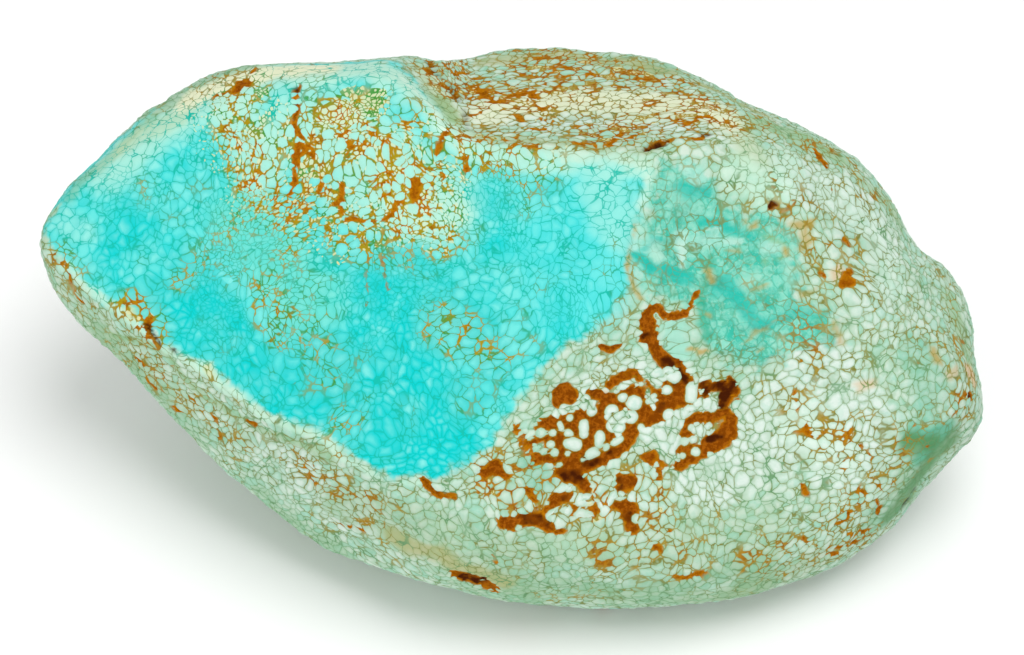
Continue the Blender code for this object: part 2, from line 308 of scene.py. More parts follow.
# Round cells that stand apart in the rust: a radius in millimetres, and the middle line of each cell.
PEBBLES = [
    (0.14, [658, 465], [554, 467]),
    (0.2, [641, 384], [583, 460], [529, 417], [659, 320, 656, 315], [658, 329]),
    (0.23, [568, 454], [560, 465], [535, 424], [562, 429, 560, 424], [520, 416], [648, 402, 654, 396]),
    (0.26, [626, 384], [530, 438], [702, 409], [697, 430, 702, 427], [666, 474, 667, 470],
     [614, 443, 620, 439], [683, 456], [546, 503], [538, 508], [643, 431, 641, 427], [528, 534]),
    (0.29, [617, 390], [553, 433], [570, 418], [544, 452], [537, 449], [709, 426], [596, 489],
     [563, 408, 572, 409], [692, 428], [519, 529]),
    (0.32, [551, 445], [555, 453], [712, 404, 712, 409], [605, 447], [685, 442], [694, 440]),
    (0.35, [623, 398], [584, 424, 584, 434], [569, 434], [526, 424, 526, 430], [569, 488], [696, 452]),
    (0.38, [592, 411], [541, 433], [702, 374], [600, 436, 600, 446], [590, 455, 596, 452], [512, 420],
     [685, 413, 691, 409], [594, 479], [620, 496], [637, 519], [667, 390], [694, 366]),
    (0.42, [585, 400], [717, 376], [669, 415], [692, 388, 691, 398], [672, 446, 676, 440]),
    (0.46, [536, 411, 545, 411], [570, 443, 576, 445], [613, 426, 619, 427], [612, 494, 604, 504],
     [580, 500, 589, 500], [552, 516, 566, 511], [627, 458, 625, 468], [668, 373, 675, 377]),
    (0.5, [612, 412], [646, 368, 653, 375], [631, 417], [609, 478], [581, 516, 588, 519]), (0.54, [634, 403]),
    (0.6, [648, 443, 658, 432], [644, 472], [512, 452, 512, 466]),
]
# Where the veins are gold to orange.
GOLD = [
    (0.2, 0.8, [330, 120, 350, 110, 374, 106]), (0.2, 0.5, [58, 262, 80, 306]),
    (0.2, 0.38, [178, 275, 200, 250, 250, 215]), (0.3, 0.4, [110, 140, 200, 85, 260, 66]),
    (0.5, 0.4, [330, 350, 350, 400, 345, 440]), (0.6, 0.9, [130, 312, 152, 332]),
    (0.8, 0.7, [445, 170, 440, 235], [298, 125, 296, 205]), (0.8, 0.6, [420, 110, 440, 150, 440, 230]),
    (0.8, 0.5, [440, 330, 500, 350], [470, 150, 520, 165, 560, 160], [820, 150, 850, 170, 870, 200],
     [940, 340, 965, 375, 972, 395]),
    (0.8, 0.35, [300, 240, 270, 290, 279, 328]), (0.9, 0.75, [420, 130, 472, 162]),
    (1, 0.8, [245, 96, 235, 120, 270, 190]), (1, 0.7, [300, 470, 350, 490, 370, 520]),
    (1, 0.6, [845, 515, 860, 545, 760, 560]), (1, 0.55, [300, 200, 340, 230, 390, 250]),
    (1, 0.5, [600, 135, 760, 125], [850, 430, 880, 445, 890, 475]), (1, 0.4, [120, 340, 230, 440]),
    (1, 0.35, [820, 280, 790, 390, 820, 430]), (1, 0.25, [800, 230, 830, 185, 845, 236, 848, 281]),
    (1.2, 1, [334, 122, 400, 180, 410, 210]),
    (1.2, 0.8, [300, 140, 350, 225], [500, 480, 560, 500, 640, 500]),
    (1.2, 0.6, [440, 70, 480, 95, 540, 90, 560, 75]), (1.2, 0.55, [530, 60, 640, 80, 700, 110]),
    (1.2, 0.45, [590, 535, 680, 560]), (1.6, 0.2, [240, 240, 300, 300, 330, 360]),
]
# Where tiny cells fill the corners between the others.
NET = [
    (0.3, 0.8, [128, 316, 150, 324]), (0.4, 1, [306, 148, 312, 166, 312, 180]),
    (0.4, 0.8, [254, 92, 260, 124, 240, 146], [282, 108, 284, 160]), (0.4, 0.6, [550, 164, 560, 154]),
    (0.5, 0.8, [426, 122, 400, 165]), (0.5, 0.6, [500, 96, 530, 100, 545, 118]),
    (0.6, 0.9, [314, 190, 336, 192]), (0.7, 1, [330, 118, 350, 109, 376, 104]),
    (1, 0.8, [300, 215, 372, 214]), (1.2, 0.8, [450, 165, 438, 230], [330, 130, 370, 150, 400, 150]),
    (1.2, 0.6, [235, 110, 270, 150, 290, 200]), (1.4, 0.7, [215, 110, 250, 200]),
    (1.4, 0.6, [400, 180, 410, 220, 330, 240]),
]
# Where the web is split into tiny cells.
TINY = [
    (0.3, 0.6, [256, 96, 262, 124], [312, 160, 314, 172]), (0.5, 0.9, [330, 116, 350, 106, 370, 102]),
]
# Where the face is deep blue.
DEEP = [
    (1.5, 0.4, [150, 170, 180, 220]), (1.6, 0.6, [128, 238, 230, 350]),
    (2.0, 1, [180, 300, 240, 370, 330, 420]), (2.0, 0.8, [400, 290, 470, 360]),
    (2.0, 0.45, [520, 215, 580, 240, 600, 310]), (2.5, 1, [340, 370, 430, 460]),
]
# Where the skin is whitish.
WHITE = [
    (1, 0.8, [800, 180, 860, 205, 880, 240]), (1, 0.6, [560, 505, 650, 525]),
    (1.2, 1, [480, 110, 640, 110, 710, 120]), (1.5, 0.6, [860, 210, 880, 300], [270, 450, 340, 510]),
    (2.2, 1, [600, 420, 640, 400, 720, 460], [760, 440, 820, 380, 850, 450]),
]
# Where the skin is green and darker: its own green tint, and painted shade along the sides that turn from the
# light.
GREEN_AND_SHADE = [
    (0.2, 0.5, [520, 56, 670, 72, 735, 100]), (0.4, 0.5, [760, 130, 840, 156]),
    (1, 0.5, [940, 440, 905, 495, 880, 520]), (1, 0.3, [430, 75, 445, 105, 462, 125]),
    (1.2, 0.4, [90, 330, 200, 440, 330, 550]), (1.5, 0.7, [60, 210, 150, 120, 260, 70]),
    (1.6, 0.6, [760, 578, 640, 598, 500, 592]),
]
# Where the cells of the face are small.
DENSE = [
    (0.7, 1, [360, 290, 366, 330], [120, 200, 150, 190], [560, 300, 580, 330]),
    (0.8, 1, [430, 240, 432, 290], [500, 180, 510, 230], [205, 150, 240, 160]),
    (0.9, 1, [312, 236, 316, 286], [440, 182, 474, 222]),
    (1, 1, [222, 250, 212, 300, 228, 332], [282, 262, 286, 300, 296, 330], [400, 232, 396, 270, 380, 312]),
    (1.2, 1, [225, 212, 290, 226]),
]
# Where the stone is sound, with no vein.
SOUND = [
    (0.2, 1, [226, 281], [192, 243]),
]
CRACKS = [
    (0.05, 1, [644, 148, 706, 133]), (0.05, 0.7, [427, 60, 450, 88, 466, 112, 467, 128]),
    (0.07, 0.8, [169, 348, 172, 352]), (0.08, 1, [312, 62, 299, 86], [914, 492, 917, 488]),
    (0.08, 0.9, [145, 322, 153, 335], [156, 340, 158, 341]), (0.12, 1, [898, 513, 906, 502]),
]

STUDIO_LIGHT = 0.86  # what the studio's light asks of a colour, for the picture to show it as named


def colour(red, green, blue):
    """A colour by its screen values, 0 to 255, as a linear one."""
    screen = [value / 255 for value in (red, green, blue)]
    linear = [value / 12.92 if value <= 0.04045 else ((value + 0.055) / 1.055) ** 2.4 for value in screen]
    return (*[value * STUDIO_LIGHT for value in linear], 1.0)


CREAM = colour(220, 214, 150)
PALE_MINT = colour(196, 234, 210)
MINT_GLINT = colour(196, 234, 218)
OLIVE_GREY = colour(165, 178, 122)
BROWN_OLIVE = colour(176, 168, 92)
LEAF_GREEN = colour(140, 180, 120)
SHADED_DARK_GREEN = colour(86, 142, 84)
SEA_GREEN = colour(80, 178, 145)
TEAL_SPOT = colour(38, 190, 172)
GREEN_SPOT = colour(20, 172, 136)
CLEAR_CYAN = colour(96, 226, 224)
GREEN_CYAN = colour(108, 216, 192)
TAN_STAIN = colour(188, 160, 80)
PINK_TAN = colour(224, 190, 150)
RIM_WHITE_AND_HIGHLIGHT = colour(214, 242, 222)
RIM_BEIGE = colour(200, 216, 170)
RIM_CREAM_AND_LIGHT = colour(232, 236, 200)
SHADED_SKIN = colour(147, 182, 138)
PALE_TEAL = colour(158, 220, 198)

# Tints of the ground: a colour, and the half width, strength and pixels of its marks. Later ones lie on top.
WASHES = [
    (PALE_MINT, (2.4, 0.52, [300, 125, 350, 140, 440, 205]), (1.2, 0.4, [340, 200, 400, 225, 450, 215]),
     (1.4, 0.85, [318, 72, 370, 68, 408, 85]), (1.4, 0.5, [232, 112, 252, 140, 262, 170]),
     (1.6, 0.55, [110, 165, 160, 128, 280, 72]), (0.8, 0.2, [64, 216, 84, 232]),
     (0.8, 0.65, [428, 104, 452, 135, 476, 150, 520, 158, 644, 168])),
    (CLEAR_CYAN, (1.8, 0.5, [596, 190, 612, 250, 600, 300]), (1.8, 0.35, [540, 240, 556, 300])),
    (GREEN_CYAN, (2.0, 0.4, [240, 215, 310, 300])),
    (PALE_MINT, (1.4, 0.32, [600, 190, 624, 230])),
    (RIM_BEIGE, (1.2, 0.45, [560, 100, 640, 112, 720, 112, 750, 150])),
    # Painted light, with a cream tint: the top facet, which turns away from the lamps, is made paler.
    (RIM_CREAM_AND_LIGHT, (1.4, 0.7, [490, 112, 560, 100, 640, 100, 720, 115])),
    (RIM_BEIGE, (0.7, 0.5, [424, 72, 458, 120])),
    (LEAF_GREEN, (0.5, 0.7, [440, 98, 454, 120])),
    (OLIVE_GREY, (0.3, 0.5, [476, 136, 540, 140, 600, 148, 650, 150])),
    (BROWN_OLIVE, (0.4, 0.5, [480, 62, 560, 54, 640, 64, 710, 88, 768, 116])),
    (LEAF_GREEN, (0.7, 0.5, [756, 122, 800, 136, 840, 160]), (0.7, 0.4, [860, 180, 884, 200, 900, 220]),
     (0.8, 0.45, [950, 300, 972, 372])),
    (SEA_GREEN, (1.2, 0.32, [912, 352, 930, 370, 930, 400])),
    (LEAF_GREEN, (0.6, 0.4, [72, 192, 148, 122])),
    (RIM_BEIGE, (0.8, 0.45, [122, 148, 184, 114])),
    (RIM_CREAM_AND_LIGHT, (0.9, 0.95, [190, 98, 260, 74, 326, 68])),
    (SEA_GREEN, (0.9, 0.75, [914, 434, 942, 434, 925, 456])),
    # Painted shade, with the facet's green: the lower right facet is darkened where it turns from the light.
    (SHADED_DARK_GREEN, (0.8, 0.8, [908, 442, 930, 446]), (0.9, 0.7, [950, 440, 890, 516])),
    (OLIVE_GREY, (1.4, 0.2, [820, 560, 700, 600])),
    (LEAF_GREEN, (1.2, 0.1, [640, 600, 540, 598, 450, 575])),
    (RIM_WHITE_AND_HIGHLIGHT, (1.6, 0.35, [800, 420, 840, 460])),
    (PALE_MINT, (1, 0.35, [560, 548, 600, 545])),
    # Painted shade at the foot of the stone: these three washes darken the lower band, and the brown olive
    # one also gives it its olive tint.
    (SHADED_SKIN, (1.8, 0.4, [345, 505, 430, 530, 520, 560, 585, 545])),
    (BROWN_OLIVE, (0.8, 0.6, [395, 540, 440, 556, 500, 582])),
    (SHADED_SKIN, (1.8, 0.3, [620, 548, 760, 535])),
    (RIM_WHITE_AND_HIGHLIGHT, (1.4, 0.35, [830, 190, 870, 225, 890, 280])),
    (OLIVE_GREY, (1.4, 0.15, [180, 400, 70, 300])),
    (LEAF_GREEN, (0.3, 0.45, [112, 334, 160, 350, 200, 394, 250, 424, 300, 446, 330, 456])),
    (PALE_TEAL, (0.8, 0.8, [676, 326, 678, 350]), (0.6, 0.35, [668, 186, 688, 212])),
    (PALE_MINT, (1.2, 0.55, [740, 175, 770, 190, 790, 165])),
    (GREEN_SPOT, (0.35, 0.7, [702, 300, 703, 318, 710, 334])),
    # Painted shadow: a sea-green line down the teal break, where a ledge throws its shade.
    (SEA_GREEN, (0.14, 0.9, [710, 258, 705, 300])),
    (TEAL_SPOT, (0.3, 0.95, [632, 254, 650, 270, 664, 266, 678, 273]), (0.45, 0.75, [676, 274, 688, 280]),
     (0.5, 0.7, [684, 190, 704, 192]), (0.24, 0.85, [702, 221, 716, 222, 734, 229]),
     (0.35, 0.5, [744, 234, 752, 238]), (0.6, 0.75, [722, 286, 748, 312]), (0.5, 0.7, [757, 322, 768, 322]),
     (0.45, 0.5, [780, 318, 804, 312])),
    (SEA_GREEN, (0.3, 0.5, [818, 318, 830, 345])),
    (TEAL_SPOT, (0.16, 0.8, [640, 247, 650, 238, 662, 240])),
    (PALE_TEAL, (0.4, 0.8, [652, 252, 656, 254])),
    (MINT_GLINT, (0.34, 0.75, [680, 236, 681, 246]), (0.12, 0.9, [682, 246, 682, 264]),
     (0.5, 0.4, [696, 244, 716, 240]), (0.05, 0.8, [692, 232, 706, 229, 722, 230]),
     (0.3, 0.5, [764, 250, 780, 246])),
    (PALE_TEAL, (0.4, 0.7, [740, 282, 756, 272]), (0.3, 0.7, [786, 262, 792, 285])),
    (LEAF_GREEN, (0.1, 0.6, [764, 260, 784, 258, 790, 240, 770, 240])),
    (MINT_GLINT, (0.45, 0.5, [690, 168, 702, 176]), (0.2, 0.7, [727, 240, 735, 242]),
     (0.5, 0.35, [650, 245, 656, 254])),
    (TAN_STAIN, (0.09, 0.85, [640, 217, 632, 226, 627, 258, 636, 293, 645, 303]),
     (0.2, 0.8, [796, 221, 806, 225, 813, 224]), (0.2, 0.75, [804, 232, 807, 244, 800, 248]),
     (0.1, 0.6, [728, 251, 736, 252]), (0.04, 0.6, [722, 350, 745, 336, 770, 325, 784, 314]),
     (0.1, 0.6, [706, 309, 715, 313]), (0.12, 0.8, [750, 222, 756, 228, 762, 222]),
     (0.16, 0.8, [785, 246, 787, 253]), (0.12, 0.6, [752, 290, 768, 285]), (0.14, 0.7, [804, 298, 816, 294]),
     (0.22, 0.65, [836, 326, 842, 340]), (0.16, 0.8, [708, 272, 714, 280]),
     (0.14, 0.8, [690, 346, 700, 351, 709, 350]), (0.12, 0.6, [754, 350, 758, 348]),
     (0.3, 0.8, [936, 350, 938, 362])),
    (PINK_TAN, (0.35, 0.85, [966, 366, 974, 380]), (0.25, 0.6, [860, 388, 876, 386]),
     (0.3, 0.6, [948, 374, 958, 370]), (0.3, 0.6, [606, 392, 610, 396])),
    (SEA_GREEN, (0.8, 0.45, [532, 466, 540, 482])),
    # Painted highlights: white lines along the broad face's edges, where they catch the light.
    (RIM_WHITE_AND_HIGHLIGHT, (0.15, 0.95, [402, 78, 416, 90, 446, 130]), (0.22, 0.6, [644, 168, 645, 190, 641, 208])),
    (PALE_MINT, (0.3, 0.75, [66, 266, 100, 300, 175, 355, 222, 382, 262, 414]),
     (0.26, 0.65, [262, 414, 318, 436, 345, 460, 395, 482, 430, 482])),
    (CREAM, (0.36, 0.7, [130, 313, 131, 315]), (0.2, 0.6, [207, 373, 209, 376])),
    (PINK_TAN, (0.3, 0.7, [836, 275, 840, 274])),
]


# ---- painting points

# A tint fades over a share of its half width and a little more, and starts to fade inside its edge.
WASH_FEATHER = 0.9
WASH_BEYOND = 0.12
WASH_STARTS = -0.5

# The edges of marks wander: how far, and how long the swings are, for a slow one and a fine one.
WANDER_SEED = 7
RAGGED, RAGGED_OVER = 0.45, 1.6
FRAYED, FRAYED_OVER = 0.14, 0.45

GRAZING = 0.2  # a surface this square to the camera, or more, counts as seen
PEBBLE_LIMIT = 0.6  # depths beyond these limits count as the limit
REGION_LIMIT = 4.0


def distance_to_path(points, path):
    """How far each point is from the line through the path's points, which may be a single one."""
    best = np.linalg.norm(points - path[0], axis=1)
    for start, end in zip(path[:-1], path[1:]):
        along = end - start
        share = np.clip((points - start) @ along / max(along @ along, 1e-18), 0.0, 1.0)
        best = np.minimum(best, np.linalg.norm(points - start - share[:, None] * along, axis=1))
    return best


def depth_inside(pixels, outline):
    """How far inside an outline each pixel is, in millimetres on the stone. It is negative outside."""
    corners = np.array(outline + outline[:2], float).reshape(-1, 2)
    distance = distance_to_path(pixels, corners)
    inside = np.zeros(len(pixels), bool)
    for (x0, y0), (x1, y1) in zip(corners[:-1], corners[1:]):
        crosses = (y0 > pixels[:, 1]) != (y1 > pixels[:, 1])
        inside ^= crosses & (pixels[:, 0] < x0 + (pixels[:, 1] - y0) * (x1 - x0) / (y1 - y0 + 1e-9))
    return np.where(inside, distance, -distance) * MM_A_PIXEL


def wander(points):
    """A smooth, random push for each point, of about 1 at most. It is the same push in every run."""
    noise.seed_set(WANDER_SEED)
    return np.array([noise.noise_vector(point) for point in points.tolist()])


def soft_step(low, high, values):
    """A smooth rise from 0 to 1 between the low and the high value."""
    share = np.clip((values - low) / (high - low), 0.0, 1.0)
    return share * share * (3 - 2 * share)


class Painter:
    """Gives each point of the stone its share of each mark and region."""

    def __init__(self, points, triangles, view):
        self.points = points
        slow = RAGGED * MM * wander(points / MM / RAGGED_OVER)
        self.ragged = points + slow + FRAYED * MM * wander(points / MM / FRAYED_OVER)
        self.view = view
        self.pixels = view.pixels(points)
        self.faces_camera = soft_step(0.0, GRAZING, normals_of(points, triangles) @ view.back)
        self.surface = BVHTree.FromPolygons(points.tolist(), triangles.tolist())

    def on_stone(self, pixel):
        """The point of the stone that a pixel shows."""
        place = self.surface.ray_cast(Vector(self.view.place), self.view.ray(pixel))[0]
        return np.array(place if place else self.surface.find_nearest(self.beside(pixel))[0])

    def beside(self, pixel):
        """A point level with the stone's middle, for a pixel that misses the stone."""
        return Vector(self.view.place) + self.view.ray(pixel) * np.linalg.norm(self.view.place)

    def beyond(self, points, pixels, half_width):
        """How far beyond the half width of a line each point is, in millimetres."""
        path = [self.on_stone(pixel) for pixel in zip(pixels[::2], pixels[1::2])]
        return distance_to_path(points, path) / MM - half_width

    def share(self, half_width, strength, pixels, feather, starts=0.0):
        """The mark's strength on it, fading to 0 over the feather's width, from the start beyond its edge."""
        beyond = self.beyond(self.ragged, pixels, half_width)
        return strength * (1 - soft_step(starts, starts + feather, beyond))

    def marks(self, groups, feather, starts=0.0):
        """The greatest share of any mark."""
        shares = [
            self.share(half_width, strength, pixels, feather, starts)
            for half_width, strength, *marks in groups
            for pixels in marks
        ]
        return np.max(shares, axis=0)

    def washes(self, washes):
        """The washes' colours laid over each other, and how much of the ground still shows."""
        laid = np.zeros((len(self.points), 3))
        ground = np.ones(len(self.points))
        for tint, *marks in washes:
            for half_width, strength, pixels in marks:
                feather = WASH_FEATHER * half_width
                share = self.share(half_width, strength, pixels, feather + WASH_BEYOND, WASH_STARTS * feather)
                laid = laid * (1 - share)[:, None] + np.outer(share, tint[:3])
                ground *= 1 - share
        return laid, ground

    def pebbles(self, groups):
        """How far inside a pebble each point is, up to the line halfway to the next pebble."""
        nearest = np.full(len(self.points), PEBBLE_LIMIT)
        second = nearest.copy()
        for radius, *paths in groups:
            for path in paths:
                beyond = self.beyond(self.points, path, radius)
                second = np.minimum(second, np.maximum(nearest, beyond))
                nearest = np.minimum(nearest, beyond)
        return np.minimum(-nearest, (second - nearest) / 2)

    def region(self, outline):
        """The depth inside an outline, between minus and plus the limit. The far side is outside."""
        depth = np.clip(depth_inside(self.pixels, outline), -REGION_LIMIT, REGION_LIMIT)
        return depth * self.faces_camera - REGION_LIMIT * (1 - self.faces_camera)


# Where the web's cells are bigger: a reach in millimetres, how much they swell, and the middles' pixels.
SWELLINGS = [
    (1, 0.45, [128, 222, 148, 283, 186, 252, 225, 282, 208, 346, 240, 290, 268, 272, 130, 313]),
    (1, 0.45, [288, 368, 374, 370, 390, 348, 340, 352, 292, 428, 320, 400, 470, 410]),
    (1.6, 0.5, [386, 432, 680, 342]),
    (1, 0.45, [346, 86, 374, 84, 404, 104, 328, 104, 432, 152, 524, 158, 396, 150, 450, 150]),
    (1, 0.4, [366, 166, 500, 250, 540, 232, 590, 200, 560, 300, 590, 240, 520, 330, 348, 170]),
    (1.3, 0.4, [846, 206, 852, 296, 884, 430, 870, 250, 820, 500]),
    (1.2, 0.35, [804, 456, 740, 480, 600, 560, 560, 580, 660, 560]),
    (1.2, 0.4, [300, 480, 340, 500, 250, 440, 480, 520, 512, 500, 640, 580, 740, 560, 400, 540]),
]

# The web of the top facet is flattened, which draws it out into slanted cells in the scar beside it: above a
# row of pixels, and between the columns where it starts and ends.
FLATTENED_ABOVE = 142
FLATTENED_FROM = (432, 474)
FLATTENED_TO = (760, 860)


def grain_of(painter):
    """The place of each point in the stone's web, in millimetres."""
    points, view = painter.points, painter.view
    across, down = painter.pixels.T
    share = soft_step(*FLATTENED_FROM, across) * (1 - soft_step(*FLATTENED_TO, across))
    above = np.maximum(FLATTENED_ABOVE - down, 0.0) * MM_A_PIXEL
    grain = points / MM + np.outer(share * above, view.up)
    for reach, swelling, middles in SWELLINGS:
        for middle in zip(middles[::2], middles[1::2]):
            place = painter.on_stone(middle) / MM
            away = np.linalg.norm(points / MM - place, axis=1)
            grain += (place - points / MM) * (swelling * np.exp(-((away / reach) ** 2)))[:, None]
    return grain


# What the marks paint: the value's name, its marks, and how far and from where they fade beyond their edge.
MARKED = {
    "rust": (RUST, 0.5, -0.15),
    "dark": (DARK, 0.6, -0.2),
    "gold": (GOLD, 1.6),
    "net": (NET, 0.8),
    "tiny": (TINY, 0.8),
    "deep": (DEEP, 2.0),
    "white": (WHITE, 2.0),
    "green": (GREEN_AND_SHADE, 2.0),
    "crack": (CRACKS, 0.2),
    "dense": (DENSE, 1.0),
    "sound": (SOUND, 0.5),
}


def painted(points, triangles, view):
    """The named values at each point."""
    painter = Painter(points, triangles, view)
    wash, ground = painter.washes(WASHES)
    return {
        "grain_mm": grain_of(painter),
        "wash": wash,
        "ground": ground,
        "face_depth": painter.region(BROAD_FACE),
        "teal_depth": painter.region(TEAL_BREAK),
        "top_depth": painter.region(TOP_FACET),
        "pebbles": painter.pebbles(PEBBLES),
        "shown": painter.faces_camera,
        "free": soft_step(0.0, BASE_CALM, points[:, 2] / MM),
        **{name: painter.marks(*marks) for name, marks in MARKED.items()},
    }


# ---- node sums


class Sums:
    """Adds nodes to a material's or a geometry's node tree, so that relief and colour share one pattern."""

    def __init__(self, tree):
        self.tree = tree
        self.shading = tree.bl_idname == "ShaderNodeTree"

    def node(self, kind, *inputs, **settings):
        """A node, its settings, and its inputs by socket and value. A value may be another node's output."""
        made = self.tree.nodes.new(kind)
        for name, value in settings.items():
            setattr(made, name, value)
        for socket, value in inputs:
            if isinstance(value, bpy.types.NodeSocket):
                self.tree.links.new(value, made.inputs[socket])
            else:
                made.inputs[socket].default_value = value
        return made

    def read(self, name, vector=False):
        """A value painted on the mesh."""
        if self.shading:
            made = self.node("ShaderNodeAttribute", attribute_name=name)
            return made.outputs["Vector" if vector else "Fac"]
        kind = "FLOAT_VECTOR" if vector else "FLOAT"
        return self.node("GeometryNodeInputNamedAttribute", ("Name", name), data_type=kind).outputs[0]

    def math(self, operation, *values):
        """The operation on two values, then on its result and the next value, and so on."""
        total = values[0]
        for value in values[1:]:
            total = self.node("ShaderNodeMath", (0, total), (1, value), operation=operation).outputs[0]
        return total

    def add(self, *values):
        return self.math("ADD", *values)

    def less(self, *values):
        return self.math("SUBTRACT", *values)

    def times(self, *values):
        return self.math("MULTIPLY", *values)

    def most(self, *values):
        return self.math("MAXIMUM", *values)

    def vector(self, operation, *inputs):
        return self.node("ShaderNodeVectorMath", *inputs, operation=operation).outputs[0]

    def off(self, a):
        """1 where a is 0, and 0 where a is 1."""
        return self.less(1.0, a)

    def rise(self, value, low, high, to_low=0.0, to_high=1.0):
        """A smooth step from one value to another, as value goes from low to high."""
        ends = ("From Min", low), ("From Max", high), ("To Min", to_low), ("To Max", to_high)
        made = self.node("ShaderNodeMapRange", ("Value", value), *ends, interpolation_type="SMOOTHSTEP")
        return made.outputs["Result"]

    def clouds(self, place, per_mm, detail=1.0, roughness=0.5):
        """Soft random noise: a value from 0 to 1 and a colour."""
        looks = ("Scale", per_mm), ("Detail", detail), ("Roughness", roughness)
        return self.node("ShaderNodeTexNoise", ("Vector", place), *looks).outputs

    def noise(self, *how):
        return self.clouds(*how)[0]

    def swing(self, value, reach):
        """A value of 0 to 1 as one from minus to plus half the reach."""
        return self.times(self.less(value, 0.5), reach)

    def pushed(self, place, per_mm, reach, detail=1.0):
        """The place pushed about by noise, up to about half the reach."""
        push = self.clouds(place, per_mm, detail)[1]
        centred = self.vector("SUBTRACT", (0, push), (1, (0.5, 0.5, 0.5)))
        scaled = self.vector("SCALE", (0, centred), ("Scale", reach))
        return self.vector("ADD", (0, place), (1, scaled))

    def mix(self, share, first, second):
        """A colour between two colours."""
        return self.node("ShaderNodeMix", (0, share), (6, first), (7, second), data_type="RGBA").outputs[2]

    def over(self, ground, share, laid):
        """A share of the ground colour, with a colour laid on it."""
        part = self.vector("SCALE", (0, ground), ("Scale", share))
        return self.vector("ADD", (0, part), (1, laid))

    def between(self, share, first, second):
        """A number between two numbers."""
        return self.node("ShaderNodeMix", (0, share), (2, first), (3, second), data_type="FLOAT").outputs[0]


# The web: how scattered its cells are, how far from a seed the rounding starts and the corners lie, and how
# many cells there are along a millimetre.
SCATTER = 0.9
ROUNDING_FROM = 0.55
CORNERS = (0.6, 0.85)
CELLS_A_MM = 1.6
DENSE_CELLS_A_MM = 2.5
TINY_CELLS_A_MM = 3.4

# Half widths of veins, in millimetres: of the tiny web, where it splits cells and where it fills corners, and
# what gold, clumps of it and rust add to the veins. Then the soft edge of every vein.
TINY_VEIN, GRAIN_VEIN = 0.055, 0.035
GOLD_ADDS, CLUMP_ADDS, RUST_ADDS = 0.02, 0.05, 0.75
EDGE_FROM, EDGE_TO, FACE_EDGE_TO = -0.015, 0.042, 0.04

# The pushes that bend the web: how many swings along a millimetre, the reach in millimetres, and the detail.
BENDS = ((0.12, 2.5, 0.0), (0.9, 0.4, 0.0), (2.8, 0.2, 1.0))


class Cells:
    """Cells round scattered seeds: how far inside its cell each place is, how near it is to where cells meet,
    and chance values for the whole cell. Rounding cuts the corners, so that the veins widen there."""

    def __init__(self, sums, place, cells_per_mm, rounding, dimensions="4D"):
        looks = ("Vector", place), ("Scale", cells_per_mm), ("Randomness", SCATTER)
        nearest, second = [
            sums.node("ShaderNodeTexVoronoi", *looks, feature=feature, voronoi_dimensions=dimensions)
            for feature in ("F1", "F2")
        ]
        away = nearest.outputs["Distance"]
        gap = sums.less(second.outputs["Distance"], away)
        corner = sums.most(sums.less(away, ROUNDING_FROM), 0)
        self.gap = sums.math("DIVIDE", sums.less(gap, sums.times(corner, rounding)), cells_per_mm)
        self.corner = sums.rise(away, *CORNERS)
        apart = sums.node("ShaderNodeSeparateXYZ", (0, nearest.outputs["Color"]))
        self.chance, self.other_chance = apart.outputs[0], apart.outputs[1]


